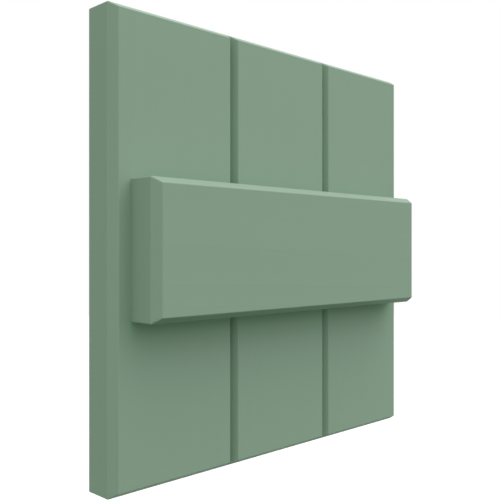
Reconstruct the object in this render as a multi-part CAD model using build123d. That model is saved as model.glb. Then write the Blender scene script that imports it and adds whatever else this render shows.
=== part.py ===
from build123d import *
import os

# A small board and batten window shutter in painted wood.
# Boards with tongue and groove edges stand side by side and meet in V joints. One batten lies across
# their faces, and countersunk wood screws driven from the back hold it.
# Millimetres. +X is to the right seen from the front, +Y goes into the wall and +Z is up.
# The origin is the middle of the back, on the wall.

# Boards, from left to right
board_names = ("left", "middle", "right")
board_width = 101.6          # one board's face, from joint to joint
board_length = 304.8
board_thickness = 26.5

# Batten, centred on the boards
batten_height = 89.0
batten_thickness = 26.5
batten_end_inset = 13.0      # from the panel's edge to the batten's end

# Chamfer round every face, steeper than 45 degrees: one cutter runs round boards and batten alike
chamfer_width = 3.9          # across the face
chamfer_depth = 6.9          # down the edge
eased_radius = 1.0           # sanding that breaks each sharp arris before painting

# Tongue and groove between neighbouring boards
tongue_length = 8.0
tongue_thickness = 7.0
tongue_from_back = 6.5       # wood between the back of the board and the tongue
tongue_nose_radius = 1.5
groove_side_clearance = 0.2  # on each cheek of the tongue
groove_end_clearance = 1.0   # past the tongue's nose
back_joint_gap = 0.5         # the backs stay apart, so that the joint closes at the face

# Holes for countersunk wood screws, driven from the back: an upper and a lower one in each board
screw_head_diameter = 8.4
screw_head_rim = 0.4         # straight edge of the head above its 90 degree cone
screw_shank_diameter = 4.2
screw_core_diameter = 2.8
screw_tip_cover = 8.0        # wood left between the screw's tip and the batten's face
screw_head_recess = 1.0      # the head lies this far below the back of the board
screw_hole_clearance = 0.3   # round the head and the shank
screw_side_offset = 18.0     # from the board's centre line
screw_row_offset = 24.0      # from the batten's centre line

panel_width = board_width * len(board_names)
batten_length = panel_width - 2 * batten_end_inset
groove_depth = tongue_length + groove_end_clearance
groove_width = tongue_thickness + 2 * groove_side_clearance
touching = 0.01              # places closer than this are the same place
screw_length = board_thickness + batten_thickness - screw_head_recess - screw_tip_cover
shank_length = board_thickness - screw_head_recess


def dress_front(piece, outer_sides):
    """Chamfers the front face all round, with mitred corners, and eases the arrises that stay open.

    The front is the face furthest towards -Y. outer_sides are the X places of the ends or edges that no
    neighbour touches, where the upright corners are eased as well.
    """
    front = piece.faces().sort_by(Axis.Y)[0]
    piece = chamfer(front.edges(), length=chamfer_width, length2=chamfer_depth, reference=front)
    chamfer_foot = front.center().Y + chamfer_depth
    arrises = piece.edges().filter_by(lambda edge: edge.center().Y < chamfer_foot + touching)
    for side in outer_sides:
        arrises += piece.edges().filter_by(Axis.Y).filter_by(
            lambda edge: abs(edge.center().X - side) < touching
        )
    return fillet(arrises, radius=eased_radius)


def tongue_section():
    """The tongue seen from above, from the board's edge at x = 0 to its rounded nose."""
    strip = Rectangle(tongue_length, tongue_thickness, align=(Align.MIN, Align.MAX))
    nose = strip.vertices().group_by(Axis.X)[-1]
    return Pos(0, -tongue_from_back) * fillet(nose, radius=tongue_nose_radius)


def groove_section():
    """The groove that takes the tongue, from the board's edge at x = 0 inwards."""
    slot = Rectangle(groove_depth, groove_width, align=(Align.MIN, Align.MAX))
    return Pos(0, -tongue_from_back + groove_side_clearance) * slot


def make_board(index):
    """One board: its section, seen from above, run up to the full length."""
    left_edge = index * board_width - panel_width / 2
    right_edge = left_edge + board_width
    outer_sides = []
    section = Pos(left_edge, 0) * Rectangle(board_width, board_thickness, align=(Align.MIN, Align.MAX))
    if index > 0:
        section -= Pos(left_edge, 0) * groove_section()
    else:
        outer_sides.append(left_edge)
    if index < len(board_names) - 1:
        section -= Pos(right_edge, 0) * Rectangle(back_joint_gap, tongue_from_back, align=Align.MAX)
        section += Pos(right_edge, 0) * tongue_section()
    else:
        outer_sides.append(right_edge)
    return dress_front(extrude(section, board_length / 2, both=True), outer_sides)


def make_batten():
    """The batten, with its back on the faces of the boards."""
    bar = Pos(0, -board_thickness, 0) * Box(
        batten_length, batten_thickness, batten_height, align=(Align.CENTER, Align.MAX, Align.CENTER)
    )
    return dress_front(bar, (-batten_length / 2, batten_length / 2))


def screw_axis(side, row):
    """Turns a screw's own frame, head at the origin and tip down -Z, into the back of the panel."""
    return Pos(side, -screw_head_recess, row) * Rot(-90, 0, 0)


def turned(points):
    """A solid turned about the Z axis from a half outline of (radius, height) points."""
    outline = Polyline(*[(radius, 0, height) for radius, height in points], close=True)
    return revolve(make_face(outline), Axis.Z)


def make_clearance_hole():
    """The hole through the board: a recess over the head, the head's seat and room for the shank."""
    recess_radius = screw_head_diameter / 2 + screw_hole_clearance
    hole_radius = screw_shank_diameter / 2 + screw_hole_clearance
    seat_top = -screw_head_rim
    return turned(
        [
            (0, screw_head_recess),
            (recess_radius, screw_head_recess),
            (recess_radius, seat_top),
            (hole_radius, seat_top - (recess_radius - hole_radius)),
            (hole_radius, -shank_length),
            (0, -shank_length),
        ]
    )


def make_pilot_hole():
    """The blind hole in the batten, as wide as the screw's core and as deep as its tip."""
    return Pos(0, 0, -shank_length) * Cylinder(
        screw_core_diameter / 2,
        screw_length - shank_length,
        align=(Align.CENTER, Align.CENTER, Align.MAX),
    )


parts = {}
batten = make_batten()
for index, name in enumerate(board_names):
    board = make_board(index)
    centre = (index + 0.5) * board_width - panel_width / 2
    for row_side in (1, -1):
        place = screw_axis(centre - row_side * screw_side_offset, row_side * screw_row_offset)
        board -= place * make_clearance_hole()
        batten -= place * make_pilot_hole()
    parts[f"board_{name}"] = board
parts["batten"] = batten

os.makedirs("parts", exist_ok=True)
for name, piece in parts.items():
    export_step(piece, f"parts/{name}.step")
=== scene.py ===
import math

import bmesh
import bpy
from mathutils import Matrix, Vector


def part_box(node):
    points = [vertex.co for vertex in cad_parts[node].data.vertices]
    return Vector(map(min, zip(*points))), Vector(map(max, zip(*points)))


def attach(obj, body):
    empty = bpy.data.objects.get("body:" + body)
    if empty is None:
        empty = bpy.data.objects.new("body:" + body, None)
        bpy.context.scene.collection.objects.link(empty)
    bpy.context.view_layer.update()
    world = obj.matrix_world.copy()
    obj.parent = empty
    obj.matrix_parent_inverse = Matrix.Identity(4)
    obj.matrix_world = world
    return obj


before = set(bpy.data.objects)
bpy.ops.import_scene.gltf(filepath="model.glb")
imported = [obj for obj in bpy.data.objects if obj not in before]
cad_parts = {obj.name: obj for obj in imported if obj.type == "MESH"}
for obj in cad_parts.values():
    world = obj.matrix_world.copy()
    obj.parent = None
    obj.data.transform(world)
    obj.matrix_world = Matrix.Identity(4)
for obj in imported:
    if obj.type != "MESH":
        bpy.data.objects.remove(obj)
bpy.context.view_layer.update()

# Camera
# It stands level with the middle of the shutter, out to the left of its front, and is turned to the right
# to look at it. Its place, its turn and its lens come from the edges of the shutter in the picture.
MM = 0.001
picture_side = 500  # pixels
sensor_width = 36.0  # mm
focal_length_pixels = 715.74
vanishing_centre_pixels = (240.37, 250.27)
camera_place = Vector((-400.3, -388.0, 0.0)) * MM
camera_turn = -44.51  # degrees

scene = bpy.context.scene
scene.view_settings.view_transform = "Standard"
camera_data = bpy.data.cameras.new("camera")
camera_data.sensor_width = sensor_width
camera_data.lens = focal_length_pixels * sensor_width / picture_side
camera_data.shift_x = 0.5 - vanishing_centre_pixels[0] / picture_side
camera_data.shift_y = vanishing_centre_pixels[1] / picture_side - 0.5
camera = bpy.data.objects.new("camera", camera_data)
camera.location = camera_place
camera.rotation_euler = (math.radians(90), 0, math.radians(camera_turn))
scene.collection.objects.link(camera)
scene.camera = camera


# Boards
# Three softwood boards with tongue and groove edges, planed, chamfered and sanded, then sprayed with
# flat sage green exterior paint on every side. The paint follows the growth rings and the fibres of the
# wood very slightly. Its colour also holds painted shade in the corners, on side edges, under the batten
# and on faces that look down, painted light on faces that look up, and a painted fade from top to foot.
class Socket:
    """An output of a node tree. The operators add Math nodes, and node() adds any other node."""

    def __init__(self, tree, output=None):
        self.tree = tree
        self.output = output

    def node(self, kind, settings=None, inputs=None, output=0):
        """Adds a node: its settings first, then the values or links of its inputs. Gives one output."""
        made = self.tree.nodes.new(kind)
        for name, value in (settings or {}).items():
            setattr(made, name, value)
        for name, value in (inputs or {}).items():
            if isinstance(value, Socket):
                self.tree.links.new(value.output, made.inputs[name])
            else:
                made.inputs[name].default_value = value
        return Socket(self.tree, made.outputs[output]) if len(made.outputs) else None

    def other(self, output):
        """Another output of the same node."""
        return Socket(self.tree, self.output.node.outputs[output])

    def __add__(self, other):
        return self.node("ShaderNodeMath", {"operation": "ADD"}, {0: self, 1: other})

    def __sub__(self, other):
        return self.node("ShaderNodeMath", {"operation": "SUBTRACT"}, {0: self, 1: other})

    def __mul__(self, other):
        return self.node("ShaderNodeMath", {"operation": "MULTIPLY"}, {0: self, 1: other})

    def __truediv__(self, other):
        return self.node("ShaderNodeMath", {"operation": "DIVIDE"}, {0: self, 1: other})

    def __pow__(self, other):
        return self.node("ShaderNodeMath", {"operation": "POWER"}, {0: self, 1: other})

    def __rsub__(self, other):
        return self.node("ShaderNodeMath", {"operation": "SUBTRACT"}, {0: other, 1: self})

    def __rtruediv__(self, other):
        return self.node("ShaderNodeMath", {"operation": "DIVIDE"}, {0: other, 1: self})

    __radd__ = __add__
    __rmul__ = __mul__


def new_material(name):
    """An empty material, and the start of its tree."""
    material = bpy.data.materials.new(name)
    material.use_nodes = True
    material.node_tree.nodes.clear()
    return material, Socket(material.node_tree)


# Painted shade: the paint's colour in the corners.
paint_corner_shade = (0.198, 0.306, 0.215, 1.0)
paint_open = (0.2055, 0.2990, 0.2205, 1.0)
# Painted light: the paint's colour on faces that look up.
paint_top_light = (0.2150, 0.2960, 0.2290, 1.0)
# Painted shade: the colour on faces that look down, on side edges and in the batten's painted shadow.
paint_in_shadow = (0.165, 0.305, 0.181, 1.0)
# Painted light at the top and painted shade at the foot.
painted_light_height_fade = 0.022  # lighter by this share at the top, darker by it at the foot
paint_variation = 0.035  # what the next three shares are shares of
cloud_share = 0.7
ring_share = 0.15
fibre_share = 0.3
paint_roughness = 0.60
cloud_roughness = 0.12
spray_roughness = 0.05
paint_specular = 0.12
corner_shade_reach = 16 * MM  # painted shade falls in a corner from what stands this near
corner_shade_samples = 8
# The batten's painted shadow on the boards below it.
batten_shadow_reach = 34 * MM  # down from the batten's lower edge
batten_shadow_edge = 5 * MM  # up behind that edge, and past the batten's ends
# Painted shade on side edges, as a share.
side_shade_share = 0.15
ring_spacing = 5.5 * MM
ring_wander = 4.0 * MM  # how far the clouds push the rings aside
ring_relief = 0.022 * MM
late_wood_start = 0.35  # of a ring's width
late_wood_end = 0.95
fibre_width = 0.7 * MM
fibre_length = 45 * MM
fibre_relief = 0.012 * MM
fibre_detail = 3.0
spray_grain = 1.6 * MM
spray_relief = 0.006 * MM
spray_detail = 1.0
cloud_size = 60 * MM
cloud_detail = 4.0
cloud_softness = 0.55
noise_middle = 0.5  # the mean of a noise

right_board_low, right_board_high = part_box("board_right")
batten_low, batten_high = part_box("batten")


def painted_wood(name, turn, pith, lean, lies_behind):
    """Paint over softwood. In the pattern's own axes the fibres run along Z and the rings lie round them.

    turn is the piece's turn into those axes, pith the centre of the rings, and lean how far the pith
    strays sideways for each metre along the piece, which draws the rings out into long flames.
    lies_behind says that the batten's painted shadow falls on this piece, just below it.
    """
    material, start = new_material(name)
    spot = start.node("ShaderNodeTexCoord", output="Object")
    place = start.node("ShaderNodeMapping", inputs={"Vector": spot, "Rotation": turn})
    across = start.node("ShaderNodeSeparateXYZ", inputs={0: place})
    through = across.other("Y")
    along = across.other("Z")

    cloud = start.node(
        "ShaderNodeTexNoise",
        inputs={
            "Vector": place,
            "Scale": 1 / cloud_size,
            "Detail": cloud_detail,
            "Roughness": cloud_softness,
        },
    )
    cloud = cloud - noise_middle
    side = across - pith[0] * MM - along * lean + cloud * ring_wander
    depth = through - pith[1] * MM
    ring = (side * side + depth * depth) ** 0.5 / ring_spacing
    ring = start.node("ShaderNodeMath", {"operation": "FRACT"}, {0: ring})
    late_wood = start.node(
        "ShaderNodeMapRange",
        {"interpolation_type": "SMOOTHSTEP"},
        {"Value": ring, "From Min": late_wood_start, "From Max": late_wood_end},
    )
    stretch = (1 / fibre_width, 1 / fibre_width, 1 / fibre_length)
    fibre_place = start.node("ShaderNodeVectorMath", {"operation": "MULTIPLY"}, {0: place, 1: stretch})
    fibre = start.node(
        "ShaderNodeTexNoise", inputs={"Vector": fibre_place, "Scale": 1.0, "Detail": fibre_detail}
    )
    spray = start.node(
        "ShaderNodeTexNoise", inputs={"Vector": place, "Scale": 1 / spray_grain, "Detail": spray_detail}
    )
    height = late_wood * ring_relief + fibre * fibre_relief + spray * spray_relief
    bump = start.node("ShaderNodeBump", inputs={"Strength": 1.0, "Distance": 1.0, "Height": height})

    # Painted light and shade in the paint colour: painted shade on faces that look down, much of it in
    # the corners and a little on side edges, and painted light on faces that look up.
    openness = start.node(
        "ShaderNodeAmbientOcclusion", {"samples": corner_shade_samples}, {"Distance": corner_shade_reach}, "AO"
    )
    facing = start.node("ShaderNodeNewGeometry", output="Normal")
    facing_side = start.node("ShaderNodeSeparateXYZ", inputs={0: facing})
    facing_up = facing_side.other("Z")
    top_light_mask = start.node("ShaderNodeMath", {"operation": "MAXIMUM"}, {0: facing_up, 1: 0.0})
    facing_down = 0 - facing_up
    side_on = facing_side * facing_side * side_shade_share
    painted_shadow = start.node("ShaderNodeMath", {"operation": "MAXIMUM"}, {0: facing_down, 1: side_on})

    # A painted shadow of the batten on the faces of the boards just below it, from one end to the other.
    sideways = start.node("ShaderNodeSeparateXYZ", inputs={0: spot})
    upwards = sideways.other("Z")
    if lies_behind:
        drop = batten_low.z - upwards
        fading = 1 - drop / batten_shadow_reach
        starting = 1 + drop / batten_shadow_edge
        under = start.node("ShaderNodeMath", {"operation": "MINIMUM"}, {0: fading, 1: starting})
        under = start.node("ShaderNodeMath", {"operation": "MAXIMUM"}, {0: under, 1: 0.0})
        from_middle = start.node("ShaderNodeMath", {"operation": "ABSOLUTE"}, {0: sideways})
        past_end = (from_middle - batten_high.x) / batten_shadow_edge
        within = start.node(
            "ShaderNodeMath", {"operation": "SUBTRACT", "use_clamp": True}, {0: 1.0, 1: past_end}
        )
        near_face = sideways.other("Y") / batten_high.y
        under = under * under * within * near_face
        painted_shadow = start.node("ShaderNodeMath", {"operation": "MAXIMUM"}, {0: painted_shadow, 1: under})

    # A colour mix takes its two colours at inputs 6 and 7 and gives its result at output 2.
    colour = paint_corner_shade
    blend = {"data_type": "RGBA", "clamp_factor": True}
    # Painted shade in the corners first, then painted shade below and on the side edges, then painted
    # light on top.
    for mask, paint in ((openness, paint_open), (painted_shadow, paint_in_shadow), (top_light_mask, paint_top_light)):
        colour = start.node("ShaderNodeMix", blend, {0: mask, 6: colour, 7: paint}, 2)
    grain = (late_wood - noise_middle) * ring_share + (fibre - noise_middle) * fibre_share
    shade = 1 + (cloud * cloud_share + grain) * paint_variation
    # Painted light at the top and painted shade at the foot.
    shade = shade + upwards * (painted_light_height_fade / right_board_high.z)
    colour = start.node("ShaderNodeVectorMath", {"operation": "SCALE"}, {0: colour, "Scale": shade})
    roughness = paint_roughness + cloud * cloud_roughness - (spray - noise_middle) * spray_roughness
    shader = start.node(
        "ShaderNodeBsdfPrincipled",
        inputs={
            "Base Color": colour,
            "Roughness": roughness,
            "Specular IOR Level": paint_specular,
            "Normal": bump,
        },
    )
    start.node("ShaderNodeOutputMaterial", inputs={"Surface": shader})
    return material


upright = (0.0, 0.0, 0.0)
board_cuts = {  # the pith's place in mm, and its lean
    "left": ((-110, 62), 0.035),
    "middle": ((14, 70), -0.05),
    "right": ((88, 55), 0.06),
}
for name, (pith, lean) in board_cuts.items():
    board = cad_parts[f"board_{name}"]
    board.data.materials[0] = painted_wood(f"painted_board_{name}", upright, pith, lean, True)

# Batten
# A fourth length of the same board, laid across the other three and screwed to them from behind. Its
# grain runs from end to end, and it has the same paint.
lying = (0.0, math.radians(90), 0.0)
batten_pith = (8, 40)  # mm
batten_lean = 0.04
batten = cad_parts["batten"]
batten.data.materials[0] = painted_wood("painted_batten", lying, batten_pith, batten_lean, False)

# Screws
# Six countersunk stainless wood screws hold the batten. They are driven through the boards from the
# back, an upper and a lower one in each board, with their heads just below the surface.
screw_head_width = 8.4 * MM
screw_head_rim = 0.4 * MM
screw_shank_width = 4.2 * MM
screw_core_width = 2.8 * MM
screw_tip_length = 5.0 * MM
screw_recess = 1.0 * MM
screw_tip_cover = 8.0 * MM
screw_side_offset = 18.0 * MM
screw_row_offset = 24.0 * MM
thread_pitch = 2.4 * MM
thread_share = 0.5  # of the pitch, and the rest is bare core
thread_rings_per_turn = 8
turned_sides = 32
drive_width = 3.9 * MM
drive_lobe_depth = 0.35 * MM
drive_lobes = 6
drive_depth = 2.2 * MM
drive_points = 48
weld = 0.02 * MM
driver_seed = 5

screw_sizes = {
    "Boards": ("NodeSocketInt", len(board_cuts)),
    "Board Width": ("NodeSocketFloat", right_board_high.x - right_board_low.x),
    "Side Offset": ("NodeSocketFloat", screw_side_offset),
    "Row Offset": ("NodeSocketFloat", screw_row_offset),
    "Recess": ("NodeSocketFloat", screw_recess),
    "Length": ("NodeSocketFloat", -batten_low.y - screw_recess - screw_tip_cover),
    "Shank Length": ("NodeSocketFloat", -batten_high.y - screw_recess),
    "Head Radius": ("NodeSocketFloat", screw_head_width / 2),
    "Head Rim": ("NodeSocketFloat", screw_head_rim),
    "Shank Radius": ("NodeSocketFloat", screw_shank_width / 2),
    "Core Radius": ("NodeSocketFloat", screw_core_width / 2),
    "Tip Length": ("NodeSocketFloat", screw_tip_length),
    "Pitch": ("NodeSocketFloat", thread_pitch),
    "Drive Radius": ("NodeSocketFloat", drive_width / 2),
    "Drive Lobe Depth": ("NodeSocketFloat", drive_lobe_depth),
    "Drive Depth": ("NodeSocketFloat", drive_depth),
    "Seed": ("NodeSocketInt", driver_seed),
    "Steel": ("NodeSocketMaterial", None),
}


def wood_screws():
    """Geometry Nodes tree: one screw, drawn head up, then copied into the back of every board."""
    tree = bpy.data.node_groups.new("wood_screws", "GeometryNodeTree")
    for name, (kind, _) in screw_sizes.items():
        tree.interface.new_socket(name, in_out="INPUT", socket_type=kind)
    tree.interface.new_socket("Screws", in_out="OUTPUT", socket_type="NodeSocketGeometry")
    start = Socket(tree)
    first = start.node("NodeGroupInput")
    size = {name: first.other(name) for name in screw_sizes}
    place = start.node("GeometryNodeInputPosition")
    x = start.node("ShaderNodeSeparateXYZ", inputs={0: place})
    y = x.other("Y")
    z = x.other("Z")
    angle = start.node("ShaderNodeMath", {"operation": "ARCTAN2"}, {0: y, 1: x})

    # The body is a fine tube that is drawn in to the head, the shank, the thread and the tip.
    tube = start.node(
        "GeometryNodeMeshCylinder",
        {"fill_type": "NONE"},
        {
            "Vertices": turned_sides,
            "Side Segments": size["Length"] / size["Pitch"] * thread_rings_per_turn,
            "Radius": 1.0,
            "Depth": size["Length"],
        },
    )
    depth = size["Length"] / 2 - z
    turns = depth / size["Pitch"] - angle / math.tau
    turns = start.node("ShaderNodeMath", {"operation": "FRACT"}, {0: turns})
    off_crest = start.node("ShaderNodeMath", {"operation": "ABSOLUTE"}, {0: turns - 0.5})
    crest = 1 - off_crest * (2 / thread_share)
    crest = start.node("ShaderNodeMath", {"operation": "MAXIMUM"}, {0: crest, 1: 0.0})
    thread = size["Core Radius"] + (size["Shank Radius"] - size["Core Radius"]) * crest
    threaded = start.node(
        "ShaderNodeMath", {"operation": "GREATER_THAN"}, {0: depth, 1: size["Shank Length"]}
    )
    body = size["Shank Radius"] + (thread - size["Shank Radius"]) * threaded
    tip = (size["Length"] - depth) / size["Tip Length"] * size["Shank Radius"]
    body = start.node("ShaderNodeMath", {"operation": "MINIMUM"}, {0: body, 1: tip})
    below_rim = depth - size["Head Rim"]
    below_rim = start.node("ShaderNodeMath", {"operation": "MAXIMUM"}, {0: below_rim, 1: 0.0})
    head = size["Head Radius"] - below_rim
    radius = start.node("ShaderNodeMath", {"operation": "MAXIMUM"}, {0: body, 1: head})
    drawn_in = start.node("ShaderNodeCombineXYZ", inputs={0: x * radius, 1: y * radius, 2: 0 - depth})
    tube = start.node("GeometryNodeSetPosition", inputs={"Geometry": tube, "Position": drawn_in})

    # The top of the head has a recess with six lobes for the driver.
    rim = start.node(
        "GeometryNodeCurvePrimitiveCircle",
        inputs={"Resolution": turned_sides, "Radius": size["Head Radius"]},
    )
    drive = start.node(
        "GeometryNodeCurvePrimitiveCircle", inputs={"Resolution": drive_points, "Radius": 1.0}
    )
    wave = start.node("ShaderNodeMath", {"operation": "COSINE"}, {0: angle * drive_lobes})
    reach = size["Drive Radius"] - size["Drive Lobe Depth"] * (1 - wave)
    outline = start.node("ShaderNodeCombineXYZ", inputs={0: x * reach, 1: y * reach})
    drive = start.node("GeometryNodeSetPosition", inputs={"Geometry": drive, "Position": outline})
    down = start.node("ShaderNodeCombineXYZ", inputs={2: 0 - size["Drive Depth"]})
    wall = start.node("GeometryNodeCurveToMesh", inputs={"Curve": drive})
    wall = start.node(
        "GeometryNodeExtrudeMesh", {"mode": "EDGES"}, {"Mesh": wall, "Offset": down, "Offset Scale": 1.0}
    )
    floor = start.node("GeometryNodeFillCurve", inputs={"Curve": drive})
    floor = start.node("GeometryNodeTransform", inputs={"Geometry": floor, "Translation": down})
    outlines = start.node("GeometryNodeJoinGeometry")
    for curve in (rim, drive):
        tree.links.new(curve.output, outlines.output.node.inputs[0])
    top = start.node("GeometryNodeFillCurve", inputs={"Curve": outlines})
    screw = start.node("GeometryNodeJoinGeometry")
    for part in (tube, top, wall, floor):
        tree.links.new(part.output, screw.output.node.inputs[0])
    screw = start.node("GeometryNodeMergeByDistance", inputs={"Geometry": screw, "Distance": weld})

    # Each board gets an upper and a lower screw, on opposite sides of its middle.
    number = start.node("GeometryNodeInputIndex")
    board = start.node("ShaderNodeMath", {"operation": "FLOOR"}, {0: number / 2})
    row = 1 - (number - board * 2) * 2
    middle = (size["Boards"] - 1) / 2
    spot = start.node(
        "ShaderNodeCombineXYZ",
        inputs={
            0: (board - middle) * size["Board Width"] - row * size["Side Offset"],
            1: 0 - size["Recess"],
            2: row * size["Row Offset"],
        },
    )
    spots = start.node("GeometryNodePoints", inputs={"Count": size["Boards"] * 2, "Position": spot})
    inwards = start.node("FunctionNodeEulerToRotation", inputs={"Euler": (math.radians(-90), 0.0, 0.0)})
    copies = start.node(
        "GeometryNodeInstanceOnPoints", inputs={"Points": spots, "Instance": screw, "Rotation": inwards}
    )
    driven_to = start.node(
        "FunctionNodeRandomValue",
        {"data_type": "FLOAT"},
        {2: 0.0, 3: math.tau / drive_lobes, "Seed": size["Seed"]},
        1,
    )
    spin = start.node("ShaderNodeCombineXYZ", inputs={2: driven_to})
    copies = start.node("GeometryNodeRotateInstances", inputs={"Instances": copies, "Rotation": spin})
    copies = start.node("GeometryNodeRealizeInstances", inputs={"Geometry": copies})
    copies = start.node("GeometryNodeSetMaterial", inputs={"Geometry": copies, "Material": size["Steel"]})
    start.node("NodeGroupOutput", inputs={"Screws": copies})
    return tree


steel_colour = (0.60, 0.59, 0.57, 1.0)
steel_roughness = 0.34
steel_marks = 0.15 * MM
steel_mark_detail = 2.0
steel_mark_roughness = 0.2

steel, start = new_material("stainless_screw")
place = start.node("ShaderNodeTexCoord", output="Object")
marks = start.node(
    "ShaderNodeTexNoise", inputs={"Vector": place, "Scale": 1 / steel_marks, "Detail": steel_mark_detail}
)
shader = start.node(
    "ShaderNodeBsdfPrincipled",
    inputs={
        "Base Color": steel_colour,
        "Metallic": 1.0,
        "Roughness": steel_roughness + (marks - noise_middle) * steel_mark_roughness,
    },
)
start.node("ShaderNodeOutputMaterial", inputs={"Surface": shader})

screws = bpy.data.objects.new("screws", bpy.data.meshes.new("screws"))
scene.collection.objects.link(screws)
modifier = screws.modifiers.new("wood_screws", "NODES")
modifier.node_group = wood_screws()
for item in modifier.node_group.interface.items_tree:
    if item.in_out == "INPUT":
        modifier[item.identifier] = steel if item.name == "Steel" else screw_sizes[item.name][1]
evaluated = screws.evaluated_get(bpy.context.evaluated_depsgraph_get())
screws.data = bpy.data.meshes.new_from_object(evaluated)
screws.modifiers.clear()
screws.data.materials.clear()
screws.data.materials.append(steel)
shape = bmesh.new()
shape.from_mesh(screws.data)
bmesh.ops.recalc_face_normals(shape, faces=shape.faces)
shape.to_mesh(screws.data)
shape.free()
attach(screws, "root")

# Floor
# A plain pale studio floor, far enough below the shutter for it to hang as on a wall. It takes the
# shutter's shadow, fades into the white behind, and throws no light back.
floor_drop = 0.9
floor_side = 16.0
floor_colour = (0.50, 0.50, 0.50, 1.0)
floor_glow = 0.22

floor = bpy.data.objects.new("floor", bpy.data.meshes.new("floor"))
shape = bmesh.new()
bmesh.ops.create_grid(shape, size=floor_side / 2, matrix=Matrix.Translation((0, 0, -floor_drop)))
shape.to_mesh(floor.data)
shape.free()
floor.visible_diffuse = False
floor.visible_shadow = False
scene.collection.objects.link(floor)

material, start = new_material("studio_floor")
shader = start.node(
    "ShaderNodeBsdfPrincipled",
    inputs={
        "Base Color": floor_colour,
        "Roughness": 1.0,
        "Specular IOR Level": 0.0,
        "Emission Color": (1, 1, 1, 1),
        "Emission Strength": floor_glow,
    },
)
start.node("ShaderNodeOutputMaterial", inputs={"Surface": shader})
floor.data.materials.append(material)

# Light
# A studio dome of big soft lamps. A lamp at 0 degrees round stands in front of the shutter and one at 90
# degrees at its left, and its light fades to nothing a quarter turn from its middle. The camera and
# mirror reflections see the dome as plain white.
lamp_focus = 4
lamps = {  # degrees round, degrees up, strength
    "high on the right": (-45, 60, 1.43),
    "on the right": (-45, 30, 0.95),
    "high past the right edge": (-90, 60, 1.60),
    "in front": (0, 30, 0.68),
    "on the left": (45, 30, 0.51),
    "level on the left": (45, 0, 0.47),
    "past the left edge": (90, 0, 0.87),
    "low on the left": (45, -45, 0.15),
    "high behind": (180, 60, 2.05),
    "behind on the right": (-150, 0, 0.55),
}

world = bpy.data.worlds.new("studio")
scene.world = world
world.use_nodes = True
world.node_tree.nodes.clear()
start = Socket(world.node_tree)
direction = start.node("ShaderNodeTexCoord", output="Generated")
dome = 0.0
for degrees_round, degrees_up, strength in lamps.values():
    turn = math.radians(degrees_round)
    lift = math.radians(degrees_up)
    aim = (-math.sin(turn) * math.cos(lift), -math.cos(turn) * math.cos(lift), math.sin(lift))
    towards = start.node(
        "ShaderNodeVectorMath", {"operation": "DOT_PRODUCT"}, {0: direction, 1: aim}, "Value"
    )
    towards = start.node("ShaderNodeMath", {"operation": "MAXIMUM"}, {0: towards, 1: 0.0})
    dome = dome + towards**lamp_focus * strength
seen = start.node("ShaderNodeLightPath", output="Is Camera Ray")
for ray in (seen.other("Is Glossy Ray"), seen.other("Is Transmission Ray")):
    seen = start.node("ShaderNodeMath", {"operation": "MAXIMUM"}, {0: seen, 1: ray})
level = dome * (1 - seen) + seen
sky = start.node("ShaderNodeBackground", inputs={"Color": (1, 1, 1, 1), "Strength": level})
start.node("ShaderNodeOutputWorld", inputs={"Surface": sky})
